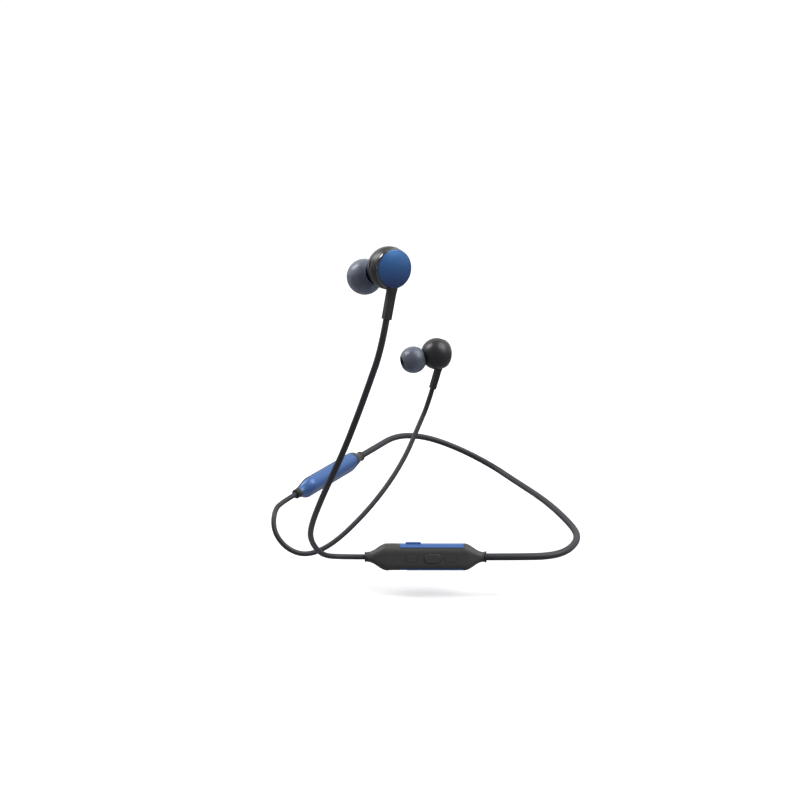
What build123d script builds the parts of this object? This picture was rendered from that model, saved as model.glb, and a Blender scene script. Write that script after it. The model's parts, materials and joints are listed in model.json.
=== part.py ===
from build123d import *
import math
import os

# Neckband earphones, millimetres, +Z up, as they hang on a wearer who faces -X.
# The origin is the middle of the neck cable. Left means the wearer's left, the -Y side.

# Earbuds: a near-spherical body around each earbud's own centre.
BODY_RADIUS = 7.0
BODY_WALL = 0.9
SEAM_X = 1.2
RIM_X = 2.6
FACE_X = 3.7
FACE_RADIUS = 6.2
FACE_DOME = 0.8
RIM_RADIUS = 6.5
RECESS_RADIUS = 5.4
NOZZLE_IN = 10.0
NOZZLE_FORWARD = 2.6
NOZZLE_DOWN = 4.4
NOZZLE_RADIUS = 2.4
NOZZLE_BORE = 1.6
NOZZLE_END = 10.4
TIP_CENTRE = 11.0
TIP_RADIUS = 5.95
TIP_SKIN = 0.55
TIP_MOUTH_RADIUS = 2.7
TIP_RIM_RADIUS = 4.15
TIP_STEM_RADIUS = 3.3
TIP_STEM_START = 7.6
TIP_BORE_CLEARANCE = 0.05
MESH_THICKNESS = 0.2
VENT_WIDTH = 0.8
VENT_LENGTH = 2.2
SLEEVE_WIDTH = 2.8
SLEEVE_DEPTH = 2.5
SLEEVE_CORNER = 0.5
SLEEVE_OUTWARD = 2.6
SLEEVE_BACK = 0.9
SLEEVE_END = 16.4
DRIVER_RADIUS = 5.0
DRIVER_FRONT = -1.6
DRIVER_BACK = 1.1
COIL_RADIUS = 2.2
COIL_GAP_RADIUS = 2.4
MAGNET_RADIUS = 1.7
DIAPHRAGM_RADIUS = 4.3

# Pods: long along X, the front face on -Y or +Y, the lead on the -X end.
POD_HEIGHT = 11.3
POD_DEPTH = 7.0
POD_CORNER = 3.4
POD_STRAIGHT = 15.9
POD_NECK_AT = 24.0
POD_NECK = 4.2
POD_END = 25.25
TAPER_STEPS = 6
NECK_ROUNDING = 0.012
POD_WALL = 1.0
BORE_RADIUS = 1.3
COLLAR_FLANGE = 0.75
LEAD_COLLAR = (1.95, 2.1)
NECK_COLLAR = (2.05, 2.35)
BACK_END = 22.0
BACK_EDGE = 0.8
WRAP_EDGE = -2.8
WRAP_FROM = -12.0
WRAP_TO = 16.0
WRAP_CORNER = 1.6
LONG_WRAP_FROM = -22.8
LONG_WRAP_TO = 15.5
REBATE_EDGE = -2.1
REBATE_HEIGHT = 3.2

# Buttons and what is behind them.
KEY_GAP = 0.12
KEY_TRAVEL_GAP = 0.35
KEY_LIP = 0.5
LIP_THICKNESS = 0.4
POWER_LIP = 0.3
POWER_LIP_DROP = 0.4
PLAY_X = 2.9
PLAY_SIZE = (7.0, 3.8)
PLAY_RAISED = 0.35
VOLUME_DOWN_X = -5.9
VOLUME_UP_X = 10.4
VOLUME_SIZE = (5.0, 3.4)
VOLUME_RAISED = 0.06
POWER_X = -5.1
POWER_SIZE = (6.3, 1.9)
POWER_RAISED = 0.55
POWER_STEM_Y = 0.1
POWER_STEM_RADIUS = 0.4
BOARD_LENGTH = 28.0
BOARD_HEIGHT = 6.4
BOARD_FRONT = 0.6
BOARD_THICKNESS = 0.8
SWITCH_SIZE = 2.8
SWITCH_HEIGHT = 0.8
PLUNGER_HEIGHT = 0.3
SOCKET_X = -11.4
SOCKET_SIZE = (7.4, 2.6, 5.0)
SOCKET_OPENING = (6.9, 1.9, 4.2)
SOCKET_RECESS = 0.65
SOCKET_Y = -0.3
SOCKET_CLEARANCE = 0.1
MICROPHONE_X = 1.9
MICROPHONE_HOLE = 0.4
LED_X = -3.6
LED_RADIUS = 0.5
LED_LENGTH = 1.6

# Battery pod's contents.
CELL_LENGTH = 22.0
CELL_HEIGHT = 8.0
CELL_DEPTH = 4.0
CELL_CORNER = 1.9
CELL_X = -3.0

# Cables.
LEAD_DIAMETER = 2.2
NECK_DIAMETER = 3.0
ARC_SHARE = 0.45

# Where the pods and earbuds are on the cables.
CONTROL_POD = Pos(-53, -90, 5.8) * Rot(X=-13)
BATTERY_POD = Pos(-96, -34, 21) * Rot(Z=57) * Rot(Y=-3) * Rot(X=40)
LEFT_EAR = Plane(origin=(-67.2, -156, 138.7), x_dir=(0.53, -0.85, 0.05), z_dir=(0.177, 0.168, 0.97)).location
RIGHT_EAR = Plane(origin=(-47.4, -36, 78.8), x_dir=(0.8, 0.56, -0.2), z_dir=(0.256, -0.07, 0.964)).location

# Cable routes: each starts square to the part it leaves and ends square to the part it enters.
LEFT_LEAD = [
    (-78.25, -90, 5.8), (-88, -90, 5.8), (-95.5, -95.5, 9), (-98.5, -109.5, 21), (-97.5, -127, 34.5),
    (-91, -148, 56), (-83.5, -156, 74), (-78, -160, 89), (-73.5, -162, 102), (-69.75, -162.18, 113.01),
    (-67.98, -160.5, 122.71),
]
RIGHT_LEAD = [
    (-109.73, -55.15, 19.68), (-114.35, -62.27, 19.24), (-117.4, -71, 19), (-117.4, -77.5, 12),
    (-112, -79, 4.5), (-104, -78.5, 1), (-95, -75, 3), (-85, -69.5, 9.5), (-72.4, -59.5, 20.5), (-61.9, -48, 33),
    (-55, -38, 46.5), (-51.32, -33.5, 53.68), (-49.02, -34.14, 62.35),
]
NECKBAND = [
    (-27.75, -90, 5.8), (-15, -90, 5.8), (0, -88, 5.2), (8.5, -81, 5.1), (14.2, -67, 4.4), (13.5, -49.5, 3),
    (6.5, -15.5, 0.5), (-6.5, 15.5, -0.5), (-16, 27.5, 2.5), (-32.5, 34, 9.5), (-50.5, 32, 17),
    (-65.5, 17.5, 22.5), (-75.74, -2.8, 22.95), (-82.27, -12.85, 22.32),
]

parts = {}


def put(name, shape, place=None):
    parts[name] = shape if place is None else place * shape


def block(x, y, z):
    """A box between two limits on each axis."""
    size = (x[1] - x[0], y[1] - y[0], z[1] - z[0])
    middle = ((x[0] + x[1]) / 2, (y[0] + y[1]) / 2, (z[0] + z[1]) / 2)
    return Pos(*middle) * Box(*size)


def rod_x(radius, start, end):
    return Pos((start + end) / 2, 0, 0) * Rot(Y=90) * Cylinder(radius, end - start)


def turned_about_x(outline):
    """A solid of revolution from (x, radius) points."""
    return revolve(make_face(Polyline([(x, r, 0) for x, r in outline], close=True)), Axis.X)


# Earbuds. forward is the sign of the wearer's forward direction along the earbud's own Y.

def nozzle_plane(forward):
    return Plane(origin=(0, 0, 0), z_dir=(-NOZZLE_IN, forward * NOZZLE_FORWARD, -NOZZLE_DOWN))


def along_nozzle(forward, shape):
    return nozzle_plane(forward).location * shape


def nozzle_rod(forward, radius, start, end):
    return along_nozzle(forward, Pos(0, 0, (start + end) / 2) * Cylinder(radius, end - start))


def faceplate():
    """A shallow dome on a boss that drops into the trim ring."""
    dome_radius = (FACE_RADIUS ** 2 + FACE_DOME ** 2) / (2 * FACE_DOME)
    dome_ball = Pos(FACE_X + FACE_DOME - dome_radius, 0, 0) * Rot(Y=90) * Sphere(dome_radius)
    dome = rod_x(FACE_RADIUS, FACE_X, FACE_X + FACE_DOME) & dome_ball
    return dome + rod_x(RECESS_RADIUS - 0.1, FACE_X - 0.8, FACE_X)


def trim_ring():
    outline = [(RIM_X, RECESS_RADIUS), (RIM_X, RIM_RADIUS + 0.05), (FACE_X, FACE_RADIUS + 0.1),
               (FACE_X, RECESS_RADIUS)]
    return turned_about_x(outline)


def ball(radius):
    return Rot(Y=90) * Sphere(radius)


def ball_slice(radius, start, end):
    return ball(radius) & rod_x(radius + 1, start, end)


def outer_housing():
    shell = ball_slice(BODY_RADIUS, SEAM_X, RIM_X)
    return shell - rod_x(DRIVER_RADIUS + 0.6, SEAM_X, RIM_X - 0.7)


def vent_cutter(forward):
    slot = Plane.XZ * SlotOverall(VENT_LENGTH, VENT_WIDTH, rotation=90)
    return Pos(-0.6, forward * BODY_RADIUS, 0.3) * extrude(slot, 1.5 * BODY_WALL, both=True)


def nozzle_housing(forward):
    inside = BODY_RADIUS - BODY_WALL
    body = ball_slice(BODY_RADIUS, -BODY_RADIUS - 1, SEAM_X)
    body += nozzle_rod(forward, NOZZLE_RADIUS, 5.5, NOZZLE_END)
    body -= ball_slice(inside, -BODY_RADIUS, SEAM_X)
    body -= nozzle_rod(forward, NOZZLE_BORE, 4.0, NOZZLE_END)
    body -= nozzle_rod(forward, NOZZLE_RADIUS - 0.4, NOZZLE_END - MESH_THICKNESS, NOZZLE_END)
    body -= vent_cutter(forward)
    seat = ball_slice(inside + BODY_WALL / 2, -0.4, SEAM_X) - rod_x(DRIVER_RADIUS, -0.4, SEAM_X)
    return body + (seat - vent_cutter(forward))


def nozzle_mesh(forward):
    return nozzle_rod(forward, NOZZLE_RADIUS - 0.4, NOZZLE_END - MESH_THICKNESS, NOZZLE_END)


def driver_frame():
    frame = rod_x(DRIVER_RADIUS, DRIVER_FRONT, DRIVER_BACK)
    frame -= rod_x(DIAPHRAGM_RADIUS + 0.2, DRIVER_FRONT, DRIVER_FRONT + 1.0)
    return frame - rod_x(COIL_GAP_RADIUS, DRIVER_FRONT + 1.0, DRIVER_BACK - 0.5)


def driver_magnet():
    return rod_x(MAGNET_RADIUS, DRIVER_FRONT + 1.1, DRIVER_BACK - 0.5)


def diaphragm():
    disc = rod_x(DIAPHRAGM_RADIUS, DRIVER_FRONT + 0.4, DRIVER_FRONT + 0.6)
    coil = rod_x(COIL_RADIUS, DRIVER_FRONT + 0.5, DRIVER_FRONT + 1.7)
    coil -= rod_x(COIL_RADIUS - 0.3, DRIVER_FRONT + 0.5, DRIVER_FRONT + 1.7)
    return disc + coil


def cable_sleeve(forward):
    section = Pos(SLEEVE_OUTWARD, -forward * SLEEVE_BACK) * RectangleRounded(
        SLEEVE_DEPTH, SLEEVE_WIDTH, SLEEVE_CORNER)
    sleeve = extrude(Plane.XY.offset(-SLEEVE_END) * section, SLEEVE_END - 5.0)
    return sleeve - ball(BODY_RADIUS + 0.02) - rod_x(RIM_RADIUS + 0.07, RIM_X - 0.5, FACE_X + FACE_DOME)


def eartip(forward):
    """A soft ball that folds back over its own stem, drawn as (radius, distance along the nozzle)."""
    bore = NOZZLE_RADIUS + TIP_BORE_CLEARANCE
    inner_radius = TIP_RADIUS - TIP_SKIN
    inner_rim = TIP_RIM_RADIUS - 0.4
    inner_mouth = TIP_STEM_RADIUS + 0.05

    def height(radius, at):
        return math.sqrt(radius ** 2 - at ** 2)

    mouth = TIP_CENTRE + height(TIP_RADIUS, TIP_MOUTH_RADIUS)
    rim = TIP_CENTRE - height(TIP_RADIUS, TIP_RIM_RADIUS)
    inside_top = (inner_mouth, 0, TIP_CENTRE + height(inner_radius, inner_mouth))
    inside_rim = (inner_rim, 0, TIP_CENTRE - height(inner_radius, inner_rim))
    outside = ThreePointArc((TIP_MOUTH_RADIUS, 0, mouth), (TIP_RADIUS, 0, TIP_CENTRE),
                            (TIP_RIM_RADIUS, 0, rim))
    edge = Line((TIP_RIM_RADIUS, 0, rim), inside_rim)
    inside = ThreePointArc(inside_rim, (inner_radius, 0, TIP_CENTRE), inside_top)
    stem = Polyline(inside_top, (TIP_STEM_RADIUS, 0, inside_top[2]), (TIP_STEM_RADIUS, 0, TIP_STEM_START),
                    (bore, 0, TIP_STEM_START), (bore, 0, mouth), (TIP_MOUTH_RADIUS, 0, mouth))
    return along_nozzle(forward, revolve(make_face([outside, edge, inside, stem]), Axis.Z))


def earbud(side, forward, place):
    put(f"{side}_faceplate", faceplate(), place)
    put(f"{side}_trim_ring", trim_ring(), place)
    put(f"{side}_outer_housing", outer_housing(), place)
    put(f"{side}_nozzle_housing", nozzle_housing(forward), place)
    put(f"{side}_nozzle_mesh", nozzle_mesh(forward), place)
    put(f"{side}_driver_frame", driver_frame(), place)
    put(f"{side}_driver_magnet", driver_magnet(), place)
    put(f"{side}_diaphragm", diaphragm(), place)
    put(f"{side}_cable_sleeve", cable_sleeve(forward), place)
    put(f"{side}_eartip", eartip(forward), place)


# Pods. The control pod's black front faces its own -Y, and the battery pod's faces its own +Y.

def pod_size(share):
    """Depth and height of the section, where share runs from 0 at the full size to 1 at the neck."""
    fullness = (1 + math.cos(math.pi * share)) / 2
    return POD_NECK + (POD_DEPTH - POD_NECK) * fullness, POD_NECK + (POD_HEIGHT - POD_NECK) * fullness


def pod_section(x, share):
    depth, height = pod_size(share)
    corner = depth * (POD_CORNER / POD_DEPTH + NECK_ROUNDING * share)
    return Plane(origin=(x, 0, 0), x_dir=(0, 1, 0), z_dir=(1, 0, 0)) * RectangleRounded(depth, height, corner)


def pod_body():
    middle = extrude(pod_section(-POD_STRAIGHT, 0), 2 * POD_STRAIGHT)
    taper_length = POD_NECK_AT - POD_STRAIGHT
    for end in (-1, 1):
        stations = [step / TAPER_STEPS for step in range(TAPER_STEPS + 1)]
        sections = [pod_section(end * (POD_STRAIGHT + taper_length * s), s) for s in stations]
        middle += loft(sections)
    return middle


def pod_cavity():
    section = Plane(origin=(-POD_STRAIGHT, 0, 0), x_dir=(0, 1, 0), z_dir=(1, 0, 0)) * RectangleRounded(
        POD_DEPTH - 2 * POD_WALL, POD_HEIGHT - 2 * POD_WALL, POD_CORNER - POD_WALL)
    return extrude(section, 2 * POD_STRAIGHT) + rod_x(BORE_RADIUS, -POD_NECK_AT, POD_NECK_AT)


def front_rebate():
    """The middle of the front wall, which stays with the front shell where the band wraps forward."""
    return block((-POD_END, POD_END), (-POD_DEPTH, REBATE_EDGE), (-REBATE_HEIGHT, REBATE_HEIGHT))


def back_region():
    """The control pod's coloured back: the back itself, and a band that wraps over the middle."""
    reach = POD_DEPTH
    back = block((-BACK_END, BACK_END), (BACK_EDGE, reach), (-reach, reach))
    wrap = block((WRAP_FROM, WRAP_TO), (WRAP_EDGE, reach), (-reach, reach))
    wrap = fillet(wrap.edges().filter_by(Axis.Z).group_by(Axis.Y)[0].sort_by(Axis.X)[0], WRAP_CORNER)
    return back + wrap - front_rebate()


def long_back_region():
    """The battery pod's coloured part: all round but for a front strip and a cap at each end."""
    taper_length = POD_NECK_AT - POD_STRAIGHT
    wrap_share = 2 * WRAP_EDGE / POD_DEPTH
    edge = [(LONG_WRAP_TO, WRAP_EDGE)]
    for step in range(TAPER_STEPS + 1):
        x = -POD_STRAIGHT + (LONG_WRAP_FROM + POD_STRAIGHT) * step / TAPER_STEPS
        depth = pod_size((-x - POD_STRAIGHT) / taper_length)[0]
        edge.append((x, wrap_share * depth / 2))
    outline = Polyline(*edge, (LONG_WRAP_FROM, POD_DEPTH), (LONG_WRAP_TO, POD_DEPTH), close=True)
    region = extrude(make_face(outline), POD_HEIGHT, both=True) - front_rebate()
    return mirror(region, about=Plane.XZ)


def collar(radii, end):
    """A grommet from its (neck, flange) radii, where end is the sign of its side of the pod."""
    neck_radius, flange_radius = radii
    flange = rod_x(flange_radius, POD_END - COLLAR_FLANGE, POD_END)
    neck = rod_x(neck_radius, POD_NECK_AT, POD_END - COLLAR_FLANGE)
    stem = rod_x(BORE_RADIUS, POD_STRAIGHT, POD_NECK_AT)
    grommet = flange + neck + stem
    return grommet if end > 0 else Rot(Z=180) * grommet


def key_outline(x, size, grow):
    return Pos(x, 0, 0) * SlotOverall(size[0] + 2 * grow, size[1] + 2 * grow)


def front_key_slot(x, size):
    outline = Plane.XZ.offset(POD_DEPTH / 2 - 2) * key_outline(x, size, KEY_GAP)
    return extrude(outline, 3)


def front_key(x, size, raised):
    """A key in the front wall, with a lip behind the wall and a stem towards its switch."""
    wall_inside = POD_DEPTH / 2 - POD_WALL
    stem_end = PLUNGER_HEIGHT + SWITCH_HEIGHT - BOARD_FRONT + KEY_TRAVEL_GAP
    cap = extrude(Plane.XZ.offset(wall_inside - 0.1) * key_outline(x, size, 0), POD_WALL + 0.1 + raised)
    lip_start = wall_inside - 0.05 - LIP_THICKNESS
    lip = extrude(Plane.XZ.offset(lip_start) * key_outline(x, size, KEY_LIP), LIP_THICKNESS)
    stem = extrude(Plane.XZ.offset(stem_end) * (Pos(x, 0, 0) * Circle(1.0)), wall_inside - stem_end - 0.1)
    return cap + lip + stem


def top_key_slot():
    outline = Plane.XY.offset(POD_HEIGHT / 2 - 2) * key_outline(POWER_X, POWER_SIZE, KEY_GAP)
    return extrude(outline, 3)


def power_key():
    """A key in the top wall, with its lip below the wall where the cavity's corners leave room."""
    lip_top = POD_HEIGHT / 2 - POD_WALL - POWER_LIP_DROP
    cap = extrude(Plane.XY.offset(lip_top - 0.1) * key_outline(POWER_X, POWER_SIZE, 0),
                  POD_HEIGHT / 2 + POWER_RAISED - lip_top + 0.1)
    lip = extrude(Plane.XY.offset(lip_top - LIP_THICKNESS) * key_outline(POWER_X, POWER_SIZE, POWER_LIP),
                  LIP_THICKNESS)
    stem_end = BOARD_HEIGHT / 2 - 0.3 + KEY_TRAVEL_GAP
    stem = Pos(POWER_X, POWER_STEM_Y, 0) * Circle(POWER_STEM_RADIUS)
    stem = extrude(Plane.XY.offset(stem_end) * stem, lip_top - 0.1 - stem_end)
    return cap + lip + stem


def front_switch(x):
    body = block((x - SWITCH_SIZE / 2, x + SWITCH_SIZE / 2), (BOARD_FRONT - SWITCH_HEIGHT, BOARD_FRONT),
                 (-SWITCH_SIZE / 2 + 0.1, SWITCH_SIZE / 2 - 0.1))
    plunger = Plane.XZ.offset(SWITCH_HEIGHT - BOARD_FRONT) * (Pos(x, 0, 0) * Circle(0.7))
    return body + extrude(plunger, PLUNGER_HEIGHT)


def power_switch():
    top = BOARD_HEIGHT / 2 - 0.3
    body = block((POWER_X - 1.4, POWER_X + 1.4), (-0.5, BOARD_FRONT), (top - 1.4, top - 0.2))
    return body + Pos(POWER_X, POWER_STEM_Y, top - 0.15) * Cylinder(POWER_STEM_RADIUS, 0.3)


def socket_space(size, grow):
    """A box that opens at the pod's underside, below the recess."""
    length, depth, height = size
    bottom = -POD_HEIGHT / 2
    return block((SOCKET_X - length / 2 - grow, SOCKET_X + length / 2 + grow),
                 (SOCKET_Y - depth / 2 - grow, SOCKET_Y + depth / 2 + grow),
                 (bottom - 1, bottom + SOCKET_RECESS + height + grow))


def charging_socket():
    length, depth, height = SOCKET_SIZE
    bottom = -POD_HEIGHT / 2 + SOCKET_RECESS
    shell = block((SOCKET_X - length / 2, SOCKET_X + length / 2),
                  (SOCKET_Y - depth / 2, SOCKET_Y + depth / 2), (bottom, bottom + height))
    shell -= socket_space(SOCKET_OPENING, 0)
    tongue = block((SOCKET_X - 2.3, SOCKET_X + 2.3), (SOCKET_Y - 0.3, SOCKET_Y + 0.3),
                   (bottom + 0.6, bottom + height - 0.4))
    return shell + tongue


def microphone_hole():
    return Pos(MICROPHONE_X, 0, POD_HEIGHT / 2) * Cylinder(MICROPHONE_HOLE, 3)


def led_hole():
    return Pos(LED_X, 0, -POD_HEIGHT / 2) * Cylinder(LED_RADIUS, 3)


def circuit_board():
    """The board, notched where the socket sits in its plane."""
    board = block((-BOARD_LENGTH / 2, BOARD_LENGTH / 2), (BOARD_FRONT, BOARD_FRONT + BOARD_THICKNESS),
                  (-BOARD_HEIGHT / 2, BOARD_HEIGHT / 2))
    return board - socket_space(SOCKET_SIZE, SOCKET_CLEARANCE)


def control_pod(place):
    shell = pod_body() - pod_cavity() - socket_space(SOCKET_SIZE, SOCKET_CLEARANCE)
    region = back_region()
    front_shell = shell - region
    for x, size in ((PLAY_X, PLAY_SIZE), (VOLUME_DOWN_X, VOLUME_SIZE), (VOLUME_UP_X, VOLUME_SIZE)):
        front_shell -= front_key_slot(x, size)
    back_shell = shell & region
    back_shell -= top_key_slot()
    back_shell -= microphone_hole()
    back_shell -= led_hole()
    module_start = BOARD_FRONT + BOARD_THICKNESS
    led_middle = -POD_HEIGHT / 2 + 0.05 + LED_LENGTH / 2
    put("control_front_shell", front_shell, place)
    put("control_back_shell", back_shell, place)
    put("control_lead_collar", collar(LEAD_COLLAR, -1), place)
    put("control_neck_collar", collar(NECK_COLLAR, 1), place)
    put("play_button", front_key(PLAY_X, PLAY_SIZE, PLAY_RAISED), place)
    put("volume_down_button", front_key(VOLUME_DOWN_X, VOLUME_SIZE, VOLUME_RAISED), place)
    put("volume_up_button", front_key(VOLUME_UP_X, VOLUME_SIZE, VOLUME_RAISED), place)
    put("power_button", power_key(), place)
    put("circuit_board", circuit_board(), place)
    put("key_switches", Compound([front_switch(x) for x in (VOLUME_DOWN_X, PLAY_X, VOLUME_UP_X)]), place)
    put("power_switch", power_switch(), place)
    put("bluetooth_module", block((3.5, 12.5), (module_start, module_start + 0.9), (-2.6, 2.6)), place)
    put("charging_socket", charging_socket(), place)
    put("microphone", block((MICROPHONE_X - 1.3, MICROPHONE_X + 1.3), (0, BOARD_FRONT), (1.8, 3.1)), place)
    put("status_light", Pos(LED_X, 0, led_middle) * Cylinder(LED_RADIUS, LED_LENGTH), place)


def battery_cell():
    section = RectangleRounded(CELL_HEIGHT, CELL_DEPTH, CELL_CORNER)
    return Pos(CELL_X, 0, 0) * Rot(Y=90) * extrude(section, CELL_LENGTH / 2, both=True)


def battery_pod(place):
    shell = pod_body() - pod_cavity()
    region = long_back_region()
    put("battery_front_shell", shell - region, place)
    put("battery_back_shell", shell & region, place)
    put("battery_lead_collar", collar(LEAD_COLLAR, -1), place)
    put("battery_neck_collar", collar(NECK_COLLAR, 1), place)
    put("battery_cell", battery_cell(), place)
    put("protection_board", block((8.6, 14.6), (-0.4, 0.4), (-3.5, 3.5)), place)
    put("foam_pad", block((-13, 7), (CELL_DEPTH / 2, POD_DEPTH / 2 - POD_WALL), (-2, 2)), place)


# Cables.

def route_radii(points):
    radii = []
    for before, here, after in zip(points, points[1:], points[2:]):
        run_in = Vector(*here) - Vector(*before)
        run_out = Vector(*after) - Vector(*here)
        half_turn = math.radians(run_in.get_angle(run_out)) / 2
        radii.append(ARC_SHARE * min(run_in.length, run_out.length) / math.tan(half_turn))
    return radii


def cable(name, points, diameter):
    radii = route_radii(points)
    path = FilletPolyline(*points, radius=radii)
    start = Plane(origin=points[0], z_dir=path % 0)
    tube = sweep(start * Circle(diameter / 2), path=path)
    ideal = math.pi * (diameter / 2) ** 2 * path.length
    print(name, "length", round(path.length, 1), "volume / ideal", round(tube.volume / ideal, 4))
    print("  radii", [round(radius, 1) for radius in radii])
    put(name, tube)


earbud("left", -1, LEFT_EAR)
earbud("right", 1, RIGHT_EAR)
control_pod(CONTROL_POD)
battery_pod(BATTERY_POD)
cable("left_lead", LEFT_LEAD, LEAD_DIAMETER)
cable("right_lead", RIGHT_LEAD, LEAD_DIAMETER)
cable("neck_cable", NECKBAND, NECK_DIAMETER)

os.makedirs("parts", exist_ok=True)
for name, shape in parts.items():
    export_step(shape, f"parts/{name}.step")
print(len(parts), "nodes")
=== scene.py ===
"""Neckband earphones: the visual model, the photograph's camera, and the light."""

import json
import math

import bmesh
import bpy
from mathutils import Matrix, Vector


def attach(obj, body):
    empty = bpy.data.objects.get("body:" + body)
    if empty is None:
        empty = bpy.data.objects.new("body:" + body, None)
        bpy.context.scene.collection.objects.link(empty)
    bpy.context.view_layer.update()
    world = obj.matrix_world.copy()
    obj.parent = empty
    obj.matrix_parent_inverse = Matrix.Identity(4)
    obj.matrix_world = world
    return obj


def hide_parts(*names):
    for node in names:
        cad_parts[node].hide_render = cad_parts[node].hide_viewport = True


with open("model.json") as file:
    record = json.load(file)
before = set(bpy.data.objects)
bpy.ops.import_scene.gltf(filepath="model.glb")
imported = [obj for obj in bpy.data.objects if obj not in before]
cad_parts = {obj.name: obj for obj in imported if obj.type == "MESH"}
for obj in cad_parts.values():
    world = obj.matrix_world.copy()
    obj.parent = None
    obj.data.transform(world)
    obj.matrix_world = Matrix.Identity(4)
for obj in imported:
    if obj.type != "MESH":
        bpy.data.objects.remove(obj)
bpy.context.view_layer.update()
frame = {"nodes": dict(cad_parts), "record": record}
nodes = frame["nodes"]

MM = 0.001
ROOT = "earphones"

# Where the pods and earbuds are, as in the design: millimetres and degrees.
CONTROL_POD = Matrix.Translation((-53, -90, 5.8)) @ Matrix.Rotation(math.radians(-13), 4, "X")
BATTERY_POD = (Matrix.Translation((-96, -34, 21)) @ Matrix.Rotation(math.radians(57), 4, "Z")
               @ Matrix.Rotation(math.radians(-3), 4, "Y") @ Matrix.Rotation(math.radians(40), 4, "X"))


def axes_place(centre, x_dir, z_dir):
    """A place given by its origin, its X direction and its Z direction."""
    z_axis = Vector(z_dir).normalized()
    x_axis = Vector(x_dir)
    x_axis = (x_axis - z_axis * x_axis.dot(z_axis)).normalized()
    turn = Matrix((x_axis, z_axis.cross(x_axis), z_axis)).transposed().to_4x4()
    return Matrix.Translation(centre) @ turn


LEFT_EAR = axes_place((-67.2, -156, 138.7), (0.53, -0.85, 0.05), (0.177, 0.168, 0.97))
RIGHT_EAR = axes_place((-47.4, -36, 78.8), (0.8, 0.56, -0.2), (0.256, -0.07, 0.964))


# ---------------------------------------------------------------- camera

def make_camera():
    """The photograph's camera, which is level across and pitched down."""
    pitch_down = math.radians(17)
    data = bpy.data.cameras.new("camera")
    data.lens = 50
    data.sensor_width = 36
    data.clip_start = 0.01
    camera = bpy.data.objects.new("camera", data)
    camera.location = Vector((-63.6, -512.0, 202.9)) * MM
    camera.rotation_euler = (math.pi / 2 - pitch_down, 0, 0)
    bpy.context.scene.collection.objects.link(camera)
    bpy.context.scene.camera = camera
    bpy.context.scene.view_settings.view_transform = "Standard"


make_camera()


# ---------------------------------------------------------------- materials

class Nodes:
    """Builds one Principled material with short calls."""

    def __init__(self, name, colour, roughness, **sockets):
        self.material = bpy.data.materials.new(name)
        self.material.use_nodes = True
        self.tree = self.material.node_tree
        self.shader = self.tree.nodes["Principled BSDF"]
        self.shader.inputs["Base Color"].default_value = (*colour, 1)
        self.shader.inputs["Roughness"].default_value = roughness
        for socket, value in sockets.items():
            self.shader.inputs[socket.replace("_", " ")].default_value = value
        self.coords = self.tree.nodes.new("ShaderNodeTexCoord").outputs["Object"]

    def link(self, source, target):
        self.tree.links.new(source, target)

    def noise(self, size_mm, detail):
        """Noise whose features are about size_mm across."""
        texture = self.tree.nodes.new("ShaderNodeTexNoise")
        texture.inputs["Scale"].default_value = 1 / (size_mm * MM)
        texture.inputs["Detail"].default_value = detail
        self.link(self.coords, texture.inputs["Vector"])
        return texture.outputs["Fac"]

    def mix(self, blend, factor=None):
        """A colour mix node, whose factor is a socket or else 1."""
        mix = self.tree.nodes.new("ShaderNodeMix")
        mix.data_type = "RGBA"
        mix.blend_type = blend
        mix.inputs["Factor"].default_value = 1
        if factor is not None:
            self.link(factor, mix.inputs["Factor"])
        return mix

    def ramp(self, source, low, high, start=0.3, end=0.7):
        """Maps noise onto a colour or a grey value."""
        ramp = self.tree.nodes.new("ShaderNodeValToRGB")
        first, last = ramp.color_ramp.elements
        first.position = start
        last.position = end
        first.color = (*low, 1) if hasattr(low, "__len__") else (low, low, low, 1)
        last.color = (*high, 1) if hasattr(high, "__len__") else (high, high, high, 1)
        self.link(source, ramp.inputs["Fac"])
        return ramp.outputs["Color"]

    def bump(self, source, strength, height_mm):
        bump = self.tree.nodes.new("ShaderNodeBump")
        bump.inputs["Strength"].default_value = strength
        bump.inputs["Distance"].default_value = height_mm * MM
        self.link(source, bump.inputs["Height"])
        self.link(bump.outputs["Normal"], self.shader.inputs["Normal"])

    def colour(self, source):
        self.link(source, self.shader.inputs["Base Color"])

    def roughness(self, source):
        self.link(source, self.shader.inputs["Roughness"])


def shade(colour, factor):
    """A lighter or darker version of a colour."""
    return tuple(min(1.0, channel * factor) for channel in colour)


DRIFT_TO_GRAIN = 14
GLOSS_VARIES = 0.05


def mottled(name, colour, roughness, grain_mm, height_mm, vary=0.12, strength=0.4, **sockets):
    """Moulded or coated stock: fine grain in the bump, slow drift in colour and gloss."""
    made = Nodes(name, colour, roughness, **sockets)
    drift = made.noise(grain_mm * DRIFT_TO_GRAIN, 3)
    made.colour(made.ramp(drift, shade(colour, 1 - vary), shade(colour, 1 + vary)))
    grain = made.noise(grain_mm, 3)
    made.roughness(made.ramp(grain, max(0.02, roughness - GLOSS_VARIES), min(1.0, roughness + GLOSS_VARIES)))
    made.bump(grain, strength, height_mm)
    return made.material


def silicone():
    """Smoky translucent skin, through which the darker core shows."""
    colour = (0.29, 0.33, 0.42)
    made = Nodes("smoky_silicone", colour, 0.38, IOR=1.41, Transmission_Weight=0.82, Coat_Weight=0.1,
                 Coat_Roughness=0.25)
    cloud = made.noise(2.4, 2)
    made.colour(made.ramp(cloud, shade(colour, 0.9), shade(colour, 1.1)))
    made.bump(made.noise(0.12, 3), strength=0.12, height_mm=0.008)
    return made.material


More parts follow.
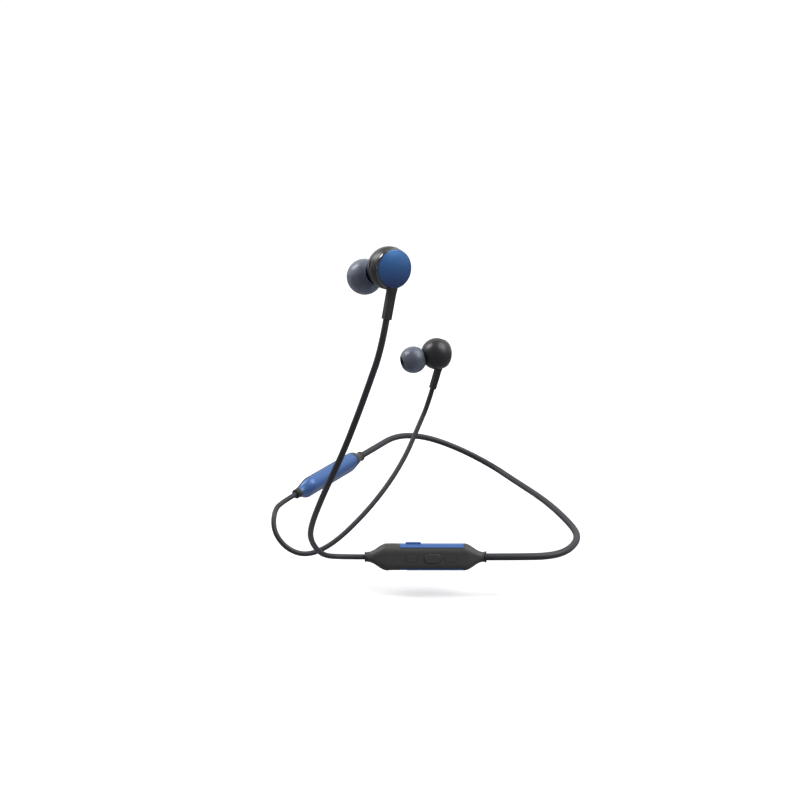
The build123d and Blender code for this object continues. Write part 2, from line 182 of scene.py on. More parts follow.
def anodised_disc():
    """Satin anodised aluminium, painted darker towards the bottom to follow the photograph.

    The darker bottom is painted shade, standing in for light from above that falls less there, and not a
    deeper dye.
    """
    # Painted shade: the disc's colour runs from a dark tone at its bottom to a lighter tone at its top.
    painted_shade_tone, painted_lit_tone = (0.012, 0.034, 0.125), (0.03, 0.135, 0.36)
    made = Nodes("anodised_blue", (0.02, 0.08, 0.25), 0.32, Metallic=0.45, Coat_Weight=0.3,
                 Coat_Roughness=0.15)
    along = made.tree.nodes.new("ShaderNodeSeparateXYZ")
    made.link(made.tree.nodes["Texture Coordinate"].outputs["Generated"], along.inputs[0])
    # The painted shade is multiplied by a fine random speckle.
    shaded_speckle = made.mix("MULTIPLY")
    made.link(made.ramp(along.outputs["Z"], painted_shade_tone, painted_lit_tone, 0.1, 0.9), shaded_speckle.inputs["A"])
    made.link(made.ramp(made.noise(0.05, 2), 0.88, 1.12), shaded_speckle.inputs["B"])
    made.colour(shaded_speckle.outputs["Result"])
    made.roughness(made.ramp(made.noise(0.05, 2), 0.29, 0.36))
    return made.material


def blue_paint():
    """Metallic paint: fine flake in a tinted coat under satin lacquer."""
    colour = (0.038, 0.105, 0.29)
    made = Nodes("metallic_blue_paint", colour, 0.48, Metallic=0.25, Coat_Weight=0.1, Coat_Roughness=0.35)
    flake = made.noise(0.06, 2)
    made.colour(made.ramp(flake, shade(colour, 0.84), shade(colour, 1.2)))
    made.roughness(made.ramp(flake, 0.33, 0.4))
    made.bump(made.noise(0.5, 3), strength=0.08, height_mm=0.01)
    return made.material


def woven_mesh():
    """Fine steel mesh, whose wires are bands in the bump and the colour."""
    wave_scale = 1200
    made = Nodes("woven_steel", (0.4, 0.4, 0.41), 0.35, Metallic=0.9)
    weave = made.tree.nodes.new("ShaderNodeTexWave")
    weave.inputs["Scale"].default_value = wave_scale
    made.link(made.coords, weave.inputs["Vector"])
    made.bump(weave.outputs["Fac"], strength=0.7, height_mm=0.05)
    made.colour(made.ramp(weave.outputs["Fac"], (0.08, 0.08, 0.08), (0.5, 0.5, 0.5)))
    return made.material


def cable_jacket():
    """Matt extruded jacket: very fine grain and a dusty drift in tone."""
    colour = (0.016, 0.017, 0.022)
    made = Nodes("cable_jacket", colour, 0.45, Specular_IOR_Level=0.4)
    drift = made.noise(6, 3)
    made.colour(made.ramp(drift, shade(colour, 0.85), shade(colour, 1.2)))
    grain = made.noise(0.16, 4)
    made.roughness(made.ramp(grain, 0.44, 0.58))
    made.bump(grain, strength=0.3, height_mm=0.02)
    return made.material


# The numbers after each colour are the roughness, the grain's size and the grain's height in mm.
MATERIALS = {
    "blue_faceplate": anodised_disc(),
    "gloss_black": mottled("gloss_black", (0.006, 0.006, 0.008), 0.08, 0.4, 0.002, vary=0.2,
                           strength=0.05, Coat_Weight=1.0, Coat_Roughness=0.03),
    "dark_housing": mottled("satin_dark_plastic", (0.011, 0.0115, 0.014), 0.36, 0.09, 0.006, vary=0.1,
                            strength=0.25, Specular_IOR_Level=0.42),
    "steel_mesh": woven_mesh(),
    "driver_steel": mottled("plated_steel", (0.5, 0.5, 0.5), 0.3, 0.1, 0.004, Metallic=1.0),
    "magnet": mottled("nickel", (0.62, 0.6, 0.58), 0.22, 0.1, 0.003, Metallic=1.0),
    "diaphragm_film": mottled("polymer_film", (0.5, 0.42, 0.2), 0.3, 0.2, 0.004),
    "black_rubber": mottled("moulded_rubber", (0.012, 0.012, 0.013), 0.48, 0.1, 0.012, vary=0.12,
                            strength=0.45, Specular_IOR_Level=0.4),
    "smoky_silicone": silicone(),
    "tip_core": mottled("navy_silicone", (0.010, 0.022, 0.060), 0.4, 0.12, 0.008),
    "soft_touch_black": mottled("soft_touch_black", (0.043, 0.042, 0.041), 0.5, 0.07, 0.006, vary=0.08,
                                strength=0.35, Specular_IOR_Level=0.3),
    "blue_shell": blue_paint(),
    "circuit_board": mottled("solder_mask", (0.01, 0.09, 0.045), 0.3, 0.3, 0.02),
    "switch_plastic": mottled("switch_plastic", (0.06, 0.06, 0.06), 0.5, 0.15, 0.01),
    "shield_steel": mottled("tinned_steel", (0.55, 0.55, 0.54), 0.28, 0.2, 0.006, Metallic=1.0),
    "light_pipe": mottled("light_pipe", (0.75, 0.78, 0.8), 0.25, 0.2, 0.004, Transmission_Weight=0.4),
    "cell_wrap": mottled("foil_wrap", (0.55, 0.58, 0.62), 0.35, 0.6, 0.03, Metallic=0.8),
    "foam": mottled("foam", (0.07, 0.07, 0.07), 0.9, 0.25, 0.08, vary=0.2, strength=0.8),
    "cable_jacket": cable_jacket(),
}

for subpart in frame["record"]["subparts"]:
    node_mesh = nodes[subpart["node"]].data
    node_mesh.materials.clear()
    node_mesh.materials.append(MATERIALS[subpart["material_slot"]])


# ---------------------------------------------------------------- cords

# Each route runs from a pod to an earbud, or from one pod to the other, as control points in mm.
LEFT_LEAD = [
    (-78.25, -90, 5.8), (-88, -90, 5.8), (-95.5, -95.5, 9), (-98.5, -109.5, 21), (-97.5, -127, 34.5),
    (-91, -148, 56), (-83.5, -156, 74), (-78, -160, 89), (-73.5, -162, 102), (-69.75, -162.18, 113.01),
    (-67.98, -160.5, 122.71),
]
RIGHT_LEAD = [
    (-109.73, -55.15, 19.68), (-114.35, -62.27, 19.24), (-117.4, -71, 19), (-117.4, -77.5, 12),
    (-112, -79, 4.5), (-104, -78.5, 1), (-95, -75, 3), (-85, -69.5, 9.5), (-72.4, -59.5, 20.5),
    (-61.9, -48, 33), (-55, -38, 46.5), (-51.32, -33.5, 53.68), (-49.02, -34.14, 62.35),
]
NECKBAND = [
    (-27.75, -90, 5.8), (-15, -90, 5.8), (0, -88, 5.2), (8.5, -81, 5.1), (14.2, -67, 4.4), (13.5, -49.5, 3),
    (6.5, -15.5, 0.5), (-6.5, 15.5, -0.5), (-16, 27.5, 2.5), (-32.5, 34, 9.5), (-50.5, 32, 17),
    (-65.5, 17.5, 22.5), (-75.74, -2.8, 22.95), (-82.27, -12.85, 22.32),
]


def cord(name, node, route, diameter):
    """A round cable along its route, with its diameter in mm."""
    curve = bpy.data.curves.new(name, "CURVE")
    curve.dimensions = "3D"
    curve.bevel_depth = diameter / 2 * MM
    curve.bevel_resolution = 6
    curve.resolution_u = 12
    curve.use_fill_caps = True
    spline = curve.splines.new("NURBS")
    spline.points.add(len(route) - 1)
    for point, place in zip(spline.points, route):
        point.co = (*(Vector(place) * MM), 1)
    spline.order_u = 3
    spline.use_endpoint_u = True
    curve.materials.append(MATERIALS["cable_jacket"])
    piece = bpy.data.objects.new(name, curve)
    bpy.context.scene.collection.objects.link(piece)
    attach(piece, ROOT)
    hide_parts(node)


cord("left_lead_cable", "left_lead", LEFT_LEAD, 2.2)
cord("right_lead_cable", "right_lead", RIGHT_LEAD, 2.2)
cord("neck_cable_loop", "neck_cable", NECKBAND, 3.0)


# ---------------------------------------------------------------- mesh helpers

BEVEL_ANGLE = 38


def add_piece(name, mesh, place, slot, body=ROOT, stands_for=(), bevel_mm=0.0, sharp=32, finish=None):
    """Puts a mesh made in a part's own millimetres where that part is."""
    mesh.transform(Matrix.Scale(MM, 4) @ place)
    mesh.materials.append(MATERIALS[finish or slot])
    mesh.shade_smooth()
    mesh.set_sharp_from_angle(angle=math.radians(sharp))
    piece = bpy.data.objects.new(name, mesh)
    bpy.context.scene.collection.objects.link(piece)
    if bevel_mm:
        bevel = piece.modifiers.new("soft_edges", "BEVEL")
        bevel.width = bevel_mm * MM
        bevel.segments = 3
        bevel.limit_method = "ANGLE"
        bevel.angle_limit = math.radians(BEVEL_ANGLE)
        bevel.harden_normals = True
    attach(piece, body)
    if stands_for:
        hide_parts(*stands_for)
    return piece


def mesh_of(made):
    """Turns an edit mesh into a mesh whose faces all look outward."""
    mesh = bpy.data.meshes.new("piece")
    bmesh.ops.recalc_face_normals(made, faces=made.faces)
    made.to_mesh(mesh)
    made.free()
    return mesh


ON_AXIS = 1e-6


def lathe(profile, segments=112, closed=True):
    """Turns (distance along the axis, radius) points about local X."""
    made = bmesh.new()
    angles = [2 * math.pi * step / segments for step in range(segments)]
    rings = []
    for along, radius in profile:
        if radius < ON_AXIS:
            rings.append([made.verts.new((along, 0, 0))] * segments)
        else:
            rings.append([made.verts.new((along, radius * math.cos(angle), radius * math.sin(angle)))
                          for angle in angles])
    pairs = list(zip(rings, rings[1:]))
    if closed:
        pairs.append((rings[-1], rings[0]))
    for near, far in pairs:
        for step in range(segments):
            after = (step + 1) % segments
            corners = list(dict.fromkeys((near[step], near[after], far[after], far[step])))
            if len(corners) > 2:
                made.faces.new(corners)
    return mesh_of(made)


def prism(outline, low, high):
    """Extrudes a closed (x, z) outline along local Y."""
    made = bmesh.new()
    bottom = [made.verts.new((x, low, z)) for x, z in outline]
    top = [made.verts.new((x, high, z)) for x, z in outline]
    made.faces.new(bottom)
    made.faces.new(list(reversed(top)))
    count = len(outline)
    for step in range(count):
        after = (step + 1) % count
        made.faces.new((bottom[step], bottom[after], top[after], top[step]))
    return mesh_of(made)


def rounded_outline(width, height, radius, steps=12, centre=(0, 0)):
    """A closed rectangle outline with rounded corners."""
    points = []
    for quarter, (sign_x, sign_z) in enumerate(((1, 1), (-1, 1), (-1, -1), (1, -1))):
        for step in range(steps + 1):
            angle = math.pi / 2 * (quarter + step / steps)
            points.append((centre[0] + sign_x * (width / 2 - radius) + radius * math.cos(angle),
                           centre[1] + sign_z * (height / 2 - radius) + radius * math.sin(angle)))
    return points


def cut(target, cutters):
    """Removes each cutter mesh from a mesh, both in the part's own millimetres."""
    holder = bpy.data.objects.new("holder", target)
    bpy.context.scene.collection.objects.link(holder)
    tools = []
    for cutter in cutters:
        tool = bpy.data.objects.new("cutter", cutter)
        bpy.context.scene.collection.objects.link(tool)
        tools.append(tool)
        step = holder.modifiers.new("cut", "BOOLEAN")
        step.operation = "DIFFERENCE"
        step.solver = "EXACT"
        step.object = tool
    bpy.context.view_layer.update()
    depsgraph = bpy.context.evaluated_depsgraph_get()
    result = bpy.data.meshes.new_from_object(holder.evaluated_get(depsgraph))
    for made in [holder, *tools]:
        bpy.data.objects.remove(made)
    return result


def arc(centre, radius, start, end, steps):
    """(along, radius) points on a circle, by degrees from the local X axis."""
    angles = [math.radians(start + (end - start) * step / steps) for step in range(steps + 1)]
    return [(centre[0] + radius * math.cos(angle), centre[1] + radius * math.sin(angle))
            for angle in angles]


# ---------------------------------------------------------------- earbuds

BODY_RADIUS = 7.0
SHELL_WALL = 0.9
SEAM_X = 1.2
SEAM_GAP = 0.03
GROOVE = 0.12
RIM_X = 2.6
FACE_X = 3.7
FACE_RADIUS = 6.2
FACE_DOME = 0.8
FACE_EDGE = 0.35
VENT_SIZE = (0.8, 2.2)
VENT_CORNER = 0.39
VENT_DEPTH = 1.3
VENT_AT = (-0.6, 0, 0.3)
NOZZLE_IN = 10.0
NOZZLE_FORWARD = 2.6
NOZZLE_DOWN = 4.4
NOZZLE_RADIUS = 2.4
NOZZLE_BORE = 1.6
NOZZLE_END = 10.4
TIP_CENTRE = 11.0
TIP_RADIUS = 5.95
TIP_SKIN = 0.55
TIP_SKIRT_ANGLE = 134
SLEEVE_DEPTH = 2.5
SLEEVE_WIDTH = 2.8
SLEEVE_CORNER = 0.35
SLEEVE_X = 2.6
SLEEVE_Y = 0.9
SLEEVE_END = 16.4


def nozzle_turn(forward):
    """Turns local X onto the nozzle's axis, where forward is the sign of the wearer's forward side."""
    axis = Vector((-NOZZLE_IN, forward * NOZZLE_FORWARD, -NOZZLE_DOWN)).normalized()
    return axis.to_track_quat("X", "Z").to_matrix().to_4x4()


def faceplate():
    """The blue disc: a shallow dome with a rounded edge."""
    rings = 14
    radii = [(FACE_RADIUS - FACE_EDGE) * step / rings for step in range(rings + 1)]
    dome = [(FACE_X + FACE_DOME * (1 - (radius / FACE_RADIUS) ** 2), radius) for radius in radii]
    edge = arc((dome[-1][0] - FACE_EDGE, dome[-1][1]), FACE_EDGE, 0, 90, 6)[1:]
    back = FACE_X - FACE_EDGE
    return lathe(dome + edge + [(back, FACE_RADIUS), (back, 0)], closed=False)


def trim_ring():
    """The bevelled black ring round the disc, from its foot on the housing to its lip."""
    foot = [(RIM_X + GROOVE / 2, 5.4), (RIM_X + GROOVE / 2, 6.42), (RIM_X + 0.17, 6.54)]
    lip = [(FACE_X - 0.12, 6.32), (FACE_X, 6.24), (FACE_X - 0.2, 6.21), (FACE_X - 0.6, 6.1)]
    return lathe(foot + lip, 144)


def sphere_profile(start, end, steps, radius=BODY_RADIUS):
    """Points on the body from one distance along X to another."""
    first = math.degrees(math.acos(start / radius))
    last = math.degrees(math.acos(end / radius))
    return arc((0, 0), radius, first, last, steps)


def outer_housing():
    """The slice of shell between the seam and the ring, with a groove at each end."""
    outside = sphere_profile(SEAM_X + GROOVE, RIM_X - 0.05, 8)
    inside = [(RIM_X, 5.5), (SEAM_X, 5.9), (SEAM_X, outside[0][1] - GROOVE)]
    return lathe(outside + inside, 144)


def vent_slot(forward):
    mesh = prism(rounded_outline(*VENT_SIZE, VENT_CORNER), BODY_RADIUS - VENT_DEPTH, BODY_RADIUS + 1)
    if forward < 0:
        mesh.transform(Matrix.Scale(-1, 4, (0, 1, 0)))
        mesh.flip_normals()
    mesh.transform(Matrix.Translation(VENT_AT))
    return mesh


def nozzle_housing(forward):
    """The near-spherical half that faces the head, with its vent."""
    cavity = BODY_RADIUS - SHELL_WALL
    outside = sphere_profile(-BODY_RADIUS, SEAM_X - SEAM_GAP, 40)
    inside = sphere_profile(SEAM_X - SEAM_GAP, -cavity, 30, cavity)
    outside[0] = (outside[0][0], 0)
    inside[-1] = (inside[-1][0], 0)
    return cut(lathe(outside + inside, 144, closed=False), [vent_slot(forward)])


def nozzle():
    """The tube that the eartip grips, with a flared foot that blends into the body."""
    foot = [(5.9, 3.6), (6.5, 3.1), (7.0, 2.7), (7.5, 2.48), (8.1, NOZZLE_RADIUS)]
    mouth = [(NOZZLE_END - 0.15, NOZZLE_RADIUS), (NOZZLE_END, NOZZLE_RADIUS - 0.15), (NOZZLE_END, 1.9),
             (NOZZLE_END - 0.3, 1.8), (NOZZLE_END - 0.3, NOZZLE_BORE), (5.6, NOZZLE_BORE)]
    return lathe(foot + mouth, 72)


def eartip():
    """A soft ball round its core: the mouth rolls in to the core and the skirt ends in a thin rim."""
    centre = (TIP_CENTRE, 0)
    outside = arc(centre, TIP_RADIUS, 30, TIP_SKIRT_ANGLE, 36)
    rim = [(6.72, 4.1), (6.84, 3.9)]
    inside = arc(centre, TIP_RADIUS - TIP_SKIN, TIP_SKIRT_ANGLE, 40, 28)
    return lathe(outside + rim + inside + [(15.3, 3.25)], 120)


def tip_core():
    """The tube that grips the nozzle, out to the rolled lip of the mouth."""
    lip = [(15.7, 2.3), (16.08, 2.36), (16.24, 2.55), (16.2, 2.85), (15.9, 3.05), (15.4, 3.2)]
    foot = [(14.6, 3.27), (8.0, 3.3), (7.65, 3.15), (7.6, 2.8), (7.68, 2.5), (9.0, 2.45), (14.0, 2.42)]
    return lathe(lip + foot, 96)


def sleeve(forward):
    """Rounded-rectangular strain relief: a shallow rib round the top and a square-cut end."""
    made = bmesh.new()
    rings = []
    sections = [(-5.9, 1.06), (-7.0, 1.06), (-7.25, 1.0), (-11.0, 0.99), (-SLEEVE_END + 0.5, 0.98),
                (-SLEEVE_END, 0.98)]
    for z, scale in sections:
        outline = rounded_outline(SLEEVE_DEPTH * scale, SLEEVE_WIDTH * scale, SLEEVE_CORNER * scale, 6,
                                  (SLEEVE_X, -forward * SLEEVE_Y))
        rings.append([made.verts.new((x, y, z)) for x, y in outline])
    for near, far in zip(rings, rings[1:]):
        for step in range(len(near)):
            after = (step + 1) % len(near)
            made.faces.new((near[step], near[after], far[after], far[step]))
    made.faces.new(rings[0])
    made.faces.new(list(reversed(rings[-1])))
    return mesh_of(made)


def earbud(side, forward, place):
    angled = place @ nozzle_turn(forward)
    tip = f"{side}_tip"
    add_piece(f"{side}_blue_disc", faceplate(), place, "blue_faceplate",
              stands_for=[f"{side}_faceplate"], sharp=50)
    add_piece(f"{side}_bezel", trim_ring(), place, "gloss_black",
              stands_for=[f"{side}_trim_ring"], bevel_mm=0.05)
    add_piece(f"{side}_outer_case", outer_housing(), place, "dark_housing",
              stands_for=[f"{side}_outer_housing"], bevel_mm=0.04)
    add_piece(f"{side}_inner_case", nozzle_housing(forward), place, "dark_housing",
              stands_for=[f"{side}_nozzle_housing"], sharp=40)
    add_piece(f"{side}_nozzle_tube", nozzle(), angled, "dark_housing", bevel_mm=0.06)
    add_piece(f"{side}_silicone_tip", eartip(), angled, "smoky_silicone", body=tip,
              stands_for=[f"{side}_eartip"], sharp=70)
    add_piece(f"{side}_tip_core", tip_core(), angled, "smoky_silicone", body=tip, finish="tip_core",
              sharp=70)
    add_piece(f"{side}_strain_relief", sleeve(forward), place, "black_rubber",
              stands_for=[f"{side}_cable_sleeve"], bevel_mm=0.07)


earbud("left", -1, LEFT_EAR)
earbud("right", 1, RIGHT_EAR)


# ---------------------------------------------------------------- pods

POD_HEIGHT = 11.3
POD_DEPTH = 7.0
POD_CORNER = 3.4
POD_STRAIGHT = 15.9
POD_NECK_AT = 24.0
POD_NECK = 4.2
POD_END = 25.25
WRAP_FROM = -12.0
WRAP_TO = 16.0
BACK_END = 22.0
LONG_WRAP_FROM = -22.8
LONG_WRAP_TO = 15.5
WRAP_AT = 3.584
BACK_AT = 1.868
LINE_GAP = 0.03
BACK_TIP = 2.6
NECK_ROUNDING = 0.012
SKIN_WALL = 0.8
COLLAR_BORE = 0.7
ACROSS = 44
ROUND = 96

# Spans along the pod and how many steps each has: (from, to, steps).
POD_SPANS = [
    (-POD_NECK_AT, -BACK_END, 6), (-BACK_END, -BACK_END + 0.4, 8), (-BACK_END + 0.4, -19.4, 14),
    (-19.4, -15, 22), (-15, -12.2, 8), (-12.2, -10.3, 16), (-10.3, 15.5, 40), (15.5, 16.3, 14),
    (16.3, 19.4, 18), (19.4, BACK_END - 0.4, 14), (BACK_END - 0.4, BACK_END, 8),
    (BACK_END, POD_NECK_AT, 6),
]


def smooth_step(value, start, end):
    """0 before start, 1 after end, and an even S between them."""
    share = min(1.0, max(0.0, (value - start) / (end - start)))
    return share * share * (3 - 2 * share)


def pod_size(x):
    """Depth, height and corner radius of the pod's section at x."""
    share = min(1.0, max(0.0, (abs(x) - POD_STRAIGHT) / (POD_NECK_AT - POD_STRAIGHT)))
    fullness = (1 + math.cos(math.pi * share)) / 2
    depth = POD_NECK + (POD_DEPTH - POD_NECK) * fullness
    height = POD_NECK + (POD_HEIGHT - POD_NECK) * fullness
    return depth, height, depth * (POD_CORNER / POD_DEPTH + NECK_ROUNDING * share)


def pod_point(x, turn, inset=0.0):
    """A point on the section: turn 0 is mid-back (+Y), 2.5 mid-top, 5 mid-front, and negative below."""
    depth, height, corner = pod_size(x)
    half_depth = depth / 2 - inset
    half_height = height / 2 - inset
    corner = max(0.05, corner - inset)
    up = math.copysign(1, turn)
    turn = min(5.0, abs(turn))
    flat_z = half_height - corner
    flat_y = half_depth - corner
    if turn <= 1:
        y, z = half_depth, flat_z * turn
    elif turn <= 2:
        angle = math.pi / 2 * (turn - 1)
        y, z = flat_y + corner * math.cos(angle), flat_z + corner * math.sin(angle)
    elif turn <= 3:
        y, z = flat_y * (1 - 2 * (turn - 2)), half_height
    elif turn <= 4:
        angle = math.pi / 2 * (turn - 3)
        y, z = -flat_y - corner * math.sin(angle), flat_z + corner * math.cos(angle)
    else:
        y, z = -half_depth, flat_z * (5 - turn)
    return Vector((x, y, up * z))


def parting(x):
    """How far the blue back reaches round the section at x, from 0 at its tips to the wrap."""
    wrapped = min(smooth_step(x, WRAP_FROM - 0.2, WRAP_FROM + 1.7),
                  1 - smooth_step(x, WRAP_TO - 0.5, WRAP_TO + 0.3))
    reach = BACK_AT + (WRAP_AT - BACK_AT) * wrapped
    tip = (BACK_END - abs(x)) / BACK_TIP
    if tip <= 0:
        return 0.0
    return reach * (math.sqrt(1 - (1 - tip) ** 2) if tip < 1 else 1.0)


def stations(start, end):
    """Distances along the pod, closer together where the shape or the parting line turns."""
    apart = 0.05
    marks = {start, end}
    for low, high, count in POD_SPANS:
        for step in range(count + 1):
            x = round(low + (high - low) * step / count, 5)
            if start + apart < x < end - apart:
                marks.add(x)
    return sorted(marks)


def skin_sheet(made, along, turns_at, ring=False):
    """A closed sheet on the pod's surface: an outer skin, an inner skin and the edges between them."""
    outer, inner = [
        [[made.verts.new(pod_point(x, turn, inset)) for turn in turns_at(x)] for x in along]
        for inset in (0.0, SKIN_WALL)
    ]
    across = len(outer[0]) - 1
    for skin in (outer, inner):
        for row, after in zip(skin, skin[1:]):
            for step in range(across):
                made.faces.new((row[step], row[step + 1], after[step + 1], after[step]))
    sides = () if ring else (0, across)
    for side in sides:
        for index in range(len(outer) - 1):
            made.faces.new((outer[index][side], outer[index + 1][side],
                            inner[index + 1][side], inner[index][side]))
    for end in (0, -1):
        for step in range(across):
            made.faces.new((outer[end][step], outer[end][step + 1],
                            inner[end][step + 1], inner[end][step]))


def sheet_mesh(made):
    """Closes the seams of a sheet and drops the faces that have no area."""
    bmesh.ops.remove_doubles(made, verts=made.verts, dist=1e-4)
    bmesh.ops.dissolve_degenerate(made, edges=made.edges, dist=1e-5)
    return mesh_of(made)


def back_turns(line):
    """Steps round the back, from the parting line below to the parting line above."""
    return [max(0.0, line - LINE_GAP) * (2 * step / ACROSS - 1) for step in range(ACROSS + 1)]


def front_turns(line):
    """Steps round the front, from the parting line below to the parting line above."""
    reach = 5 - line - LINE_GAP
    half = [line + LINE_GAP + reach * step / (ACROSS // 2) for step in range(ACROSS // 2 + 1)]
    return [-turn for turn in half[:-1]] + half[::-1]


def control_shell(is_back):
    """The blue back with its wrap, or the black front that meets it along the parting line."""
    made = bmesh.new()
    limit = BACK_END if is_back else POD_NECK_AT
    turns = back_turns if is_back else front_turns
    skin_sheet(made, stations(-limit, limit), lambda x: turns(parting(x)))
    return sheet_mesh(made)


def battery_shell(is_back):
    """The long blue wrap, or the black strip in front of it with the cap at each end."""
    made = bmesh.new()
    gap = -LINE_GAP if is_back else LINE_GAP
    low, high = LONG_WRAP_FROM - gap, LONG_WRAP_TO + gap
    turns = back_turns(WRAP_AT) if is_back else front_turns(WRAP_AT)
    skin_sheet(made, stations(low, high), lambda x: turns)
    if not is_back:
        all_round = [5 - 10 * step / ROUND for step in range(ROUND + 1)]
        for start, end in ((-POD_NECK_AT, low), (high, POD_NECK_AT)):
            skin_sheet(made, stations(start, end), lambda x: all_round, ring=True)
    return sheet_mesh(made)


def mirrored(mesh):
    """Swaps front and back, for the pod whose back faces the other way."""
    mesh.transform(Matrix.Scale(-1, 4, (0, 1, 0)))
    mesh.flip_normals()
    return mesh


def collar(neck, flange):
    """A rubber grommet: a groove at the shell, a rounded flange and a small step round the cable."""
    inside = POD_NECK_AT - 0.4
    groove = [(inside, COLLAR_BORE), (inside, neck - 0.05), (POD_NECK_AT + 0.06, neck), (24.4, neck + 0.02)]
    rounded = [(24.55, flange - 0.06), (24.7, flange), (25.0, flange), (25.16, flange - 0.08)]
    return lathe(groove + rounded + [(POD_END, flange - 0.3), (POD_END, COLLAR_BORE)], 72)


LEAD_COLLAR = (1.93, 2.1)
NECK_COLLAR = (2.03, 2.35)
FRONT_Y = -POD_DEPTH / 2
KEY_GAP = 0.1
KEY_DEPTH = 1.1
PLAY_X = 2.9
PLAY_SIZE = (7.0, 3.8)
PLAY_RAISED = 0.35
VOLUME_DOWN_X = -5.9
VOLUME_UP_X = 10.4
VOLUME_SIZE = (5.0, 3.4)
VOLUME_RAISED = 0.06
MARK_RAISED = 0.12
POWER_X = -5.1
POWER_SIZE = (6.3, 1.9)
POWER_CORNER = 0.5
POWER_RAISED = 0.55
POWER_DEPTH = 1.6
SOCKET_SIZE = (7.6, 2.8)
SOCKET_CORNER = 0.5
SOCKET_X = -11.4
SOCKET_Y = -0.3
SOCKET_DEPTH = 1.7
MICROPHONE_X = 1.9
MICROPHONE_HOLE = 0.4
LIGHT_X = -3.6
LIGHT_HOLE = 0.52
UPRIGHT = Matrix.Rotation(math.radians(-90), 4, "X")


def key_outline(x, size, grow=0.0, radius=None):
    width, height = size[0] + 2 * grow, size[1] + 2 * grow
    corner = height / 2 - 0.01 if radius is None else radius + grow
    return rounded_outline(width, height, corner, 14, (x, 0))


def front_key(x, size, raised):
    return prism(key_outline(x, size), FRONT_Y - raised, FRONT_Y + KEY_DEPTH)


def power_key(grow=0.0, raised=POWER_RAISED):
    top = POD_HEIGHT / 2
    mesh = prism(key_outline(POWER_X, POWER_SIZE, grow, POWER_CORNER), -top - raised, -top + POWER_DEPTH)
    mesh.transform(UPRIGHT)
    return mesh


def socket_hole():
    outline = rounded_outline(*SOCKET_SIZE, SOCKET_CORNER, 6, (SOCKET_X, 0))
    mesh = prism(outline, POD_HEIGHT / 2 - SOCKET_DEPTH, POD_HEIGHT / 2 + 1)
    mesh.transform(Matrix.Translation((0, SOCKET_Y, 0)) @ UPRIGHT)
    return mesh


def round_hole(x, radius, z):
    """A cutter for a hole in the top or the underside."""
    reach = 1.5
    mesh = prism(rounded_outline(2 * radius, 2 * radius, radius * 0.999, 8, (x, 0)), -reach, reach)
    mesh.transform(Matrix.Translation((0, 0, z)) @ Matrix.Rotation(math.radians(90), 4, "X"))
    return mesh


def front_shell_with_holes():
    keys = ((PLAY_X, PLAY_SIZE), (VOLUME_DOWN_X, VOLUME_SIZE), (VOLUME_UP_X, VOLUME_SIZE))
    holes = [prism(key_outline(x, size, KEY_GAP), FRONT_Y - 1, FRONT_Y + 1.5) for x, size in keys]
    return cut(control_shell(False), [*holes, socket_hole()])


def back_shell_with_holes():
    top = POD_HEIGHT / 2
    return cut(control_shell(True), [power_key(KEY_GAP, 1.0), round_hole(MICROPHONE_X, MICROPHONE_HOLE, top),
                                     round_hole(LIGHT_X, LIGHT_HOLE, -top), socket_hole()])


def mark(x, upright):
    """A raised minus, or a plus where upright is true."""
    arm, thick = 0.85, 0.17
    if upright:
        outline = [(arm, thick), (thick, thick), (thick, arm), (-thick, arm), (-thick, thick),
                   (-arm, thick), (-arm, -thick), (-thick, -thick), (-thick, -arm), (thick, -arm),
                   (thick, -thick), (arm, -thick)]
    else:
        outline = [(arm, thick), (-arm, thick), (-arm, -thick), (arm, -thick)]
    return prism([(x + dx, dz) for dx, dz in outline], FRONT_Y - MARK_RAISED, FRONT_Y + 0.2)


def grommets(pod, place):
    """The two collars, the lead's turned end for end."""
    lead_end = place @ Matrix.Rotation(math.pi, 4, "Z")
    add_piece(f"{pod}_lead_grommet", collar(*LEAD_COLLAR), lead_end, "black_rubber",
              stands_for=[f"{pod}_lead_collar"], bevel_mm=0.05)
    add_piece(f"{pod}_neck_grommet", collar(*NECK_COLLAR), place, "black_rubber",
              stands_for=[f"{pod}_neck_collar"], bevel_mm=0.05)


def control_pod(place):
    black, blue = "soft_touch_black", "blue_shell"
    add_piece("control_front_case", front_shell_with_holes(), place, black,
              stands_for=["control_front_shell"])
    add_piece("control_back_case", back_shell_with_holes(), place, blue,
              stands_for=["control_back_shell"])
    grommets("control", place)
    add_piece("play_key_cap", front_key(PLAY_X, PLAY_SIZE, PLAY_RAISED), place, black, body="play_key",
              stands_for=["play_button"], bevel_mm=0.28)
    for name, x, upright in (("volume_down", VOLUME_DOWN_X, False), ("volume_up", VOLUME_UP_X, True)):
        add_piece(f"{name}_key_cap", front_key(x, VOLUME_SIZE, VOLUME_RAISED), place, black,
                  body=f"{name}_key", stands_for=[f"{name}_button"], bevel_mm=0.1)
        add_piece(f"{name}_mark", mark(x, upright), place, black, body=f"{name}_key", bevel_mm=0.04)
    add_piece("power_key_cap", power_key(), place, blue, body="power_key", stands_for=["power_button"],
              bevel_mm=0.15)


def battery_pod(place):
    add_piece("battery_front_case", mirrored(battery_shell(False)), place, "soft_touch_black",
              stands_for=["battery_front_shell"])
    add_piece("battery_back_case", mirrored(battery_shell(True)), place, "blue_shell",
              stands_for=["battery_back_shell"])
    grommets("battery", place)


control_pod(CONTROL_POD)
battery_pod(BATTERY_POD)


# ---------------------------------------------------------------- floor and light

FLOOR_Z = -10.0
FLOOR_REACH = 30.0
PAPER = 0.78
PAPER_VARIES = 0.005
BOUNCE = (0.2, 0.2, 0.21, 1)


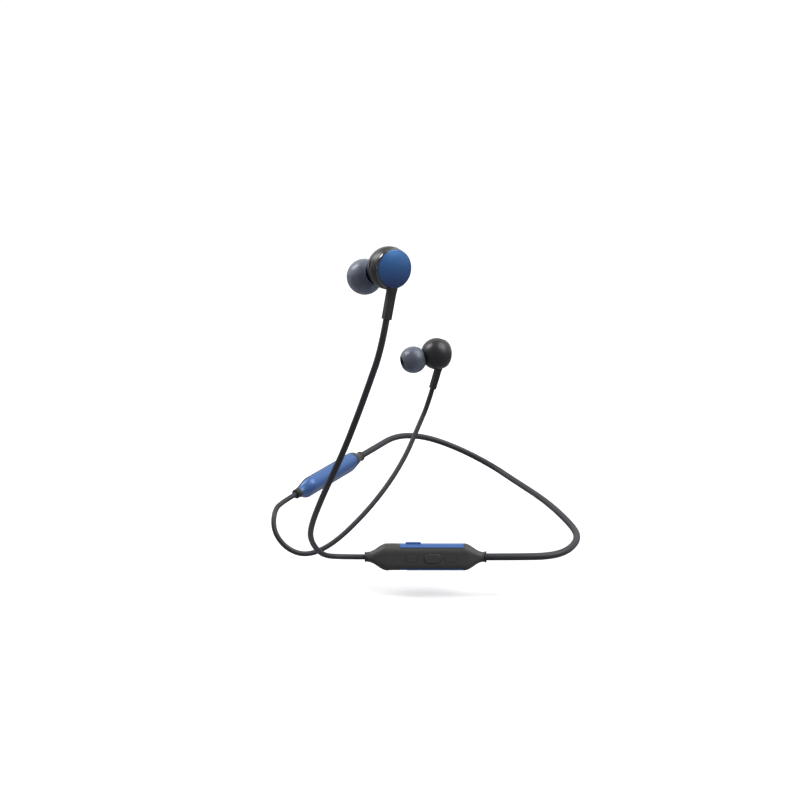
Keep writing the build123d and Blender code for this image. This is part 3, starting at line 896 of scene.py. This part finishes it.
def floor():
    """White paper that reaches the horizon, and that throws less light back up than it shows."""
    mesh = bpy.data.meshes.new("floor")
    corners = [(x * FLOOR_REACH, y * FLOOR_REACH, FLOOR_Z * MM)
               for x, y in ((-1, -1), (1, -1), (1, 1), (-1, 1))]
    mesh.from_pydata(corners, [], [(0, 1, 2, 3)])
    made = Nodes("paper_floor", (PAPER, PAPER, PAPER), 0.9)
    paper = made.ramp(made.noise(120, 3), PAPER - PAPER_VARIES, PAPER + PAPER_VARIES)
    seen = made.tree.nodes.new("ShaderNodeLightPath").outputs["Is Camera Ray"]
    seen_or_bounced = made.mix("MIX", seen)
    seen_or_bounced.inputs["A"].default_value = BOUNCE
    made.link(paper, seen_or_bounced.inputs["B"])
    made.colour(seen_or_bounced.outputs["Result"])
    mesh.materials.append(made.material)
    piece = bpy.data.objects.new("floor", mesh)
    bpy.context.scene.collection.objects.link(piece)


def add_light(name, kind, place, aim, energy, **settings):
    """A light at place that looks at aim, both in metres, and that the camera doesn't see."""
    data = bpy.data.lights.new(name, kind)
    data.energy = energy
    for setting, value in settings.items():
        setattr(data, setting, value)
    light = bpy.data.objects.new(name, data)
    light.location = place
    light.rotation_euler = (Vector(aim) - Vector(place)).to_track_quat("-Z", "Y").to_euler()
    light.visible_camera = False
    bpy.context.scene.collection.objects.link(light)


MIDDLE = (-0.06, -0.09, 0.07)


def softbox(name, direction, distance, size, radiance):
    """A rectangular light that looks equally bright wherever it is reflected."""
    place = Vector(MIDDLE) + Vector(direction).normalized() * distance
    energy = radiance * math.pi * size[0] * size[1]
    add_light(name, "AREA", place, MIDDLE, energy, shape="RECTANGLE", size=size[0], size_y=size[1])


def studio_world():
    """White behind and below the object, and dimmer overhead and in front."""
    white, grey = (1.02, 1.02, 1.02, 1), (0.36, 0.36, 0.36, 1)
    sky = bpy.data.worlds.new("studio")
    sky.use_nodes = True
    tree = sky.node_tree
    direction = tree.nodes.new("ShaderNodeTexCoord").outputs["Generated"]
    facing = tree.nodes.new("ShaderNodeVectorMath")
    facing.operation = "DOT_PRODUCT"
    facing.inputs[1].default_value = (0, -0.8, 0.6)
    tree.links.new(direction, facing.inputs[0])
    dimming = tree.nodes.new("ShaderNodeValToRGB")
    bright, dim = dimming.color_ramp.elements
    bright.position, bright.color = 0.02, white
    dim.position, dim.color = 0.4, grey
    tree.links.new(facing.outputs["Value"], dimming.inputs["Fac"])
    tree.links.new(dimming.outputs["Color"], tree.nodes["Background"].inputs["Color"])
    bpy.context.scene.world = sky


floor()
studio_world()
add_light("overhead_sun", "SUN", (0.6, -0.12, 1.0), (0, 0, 0.04), 2.7, angle=math.radians(46))
softbox("right_softbox", (0.8, -0.35, 0.55), 0.9, (0.6, 0.4), 2.0)
softbox("left_softbox", (-0.67, 0.19, 0.72), 0.8, (0.26, 0.4), 14)
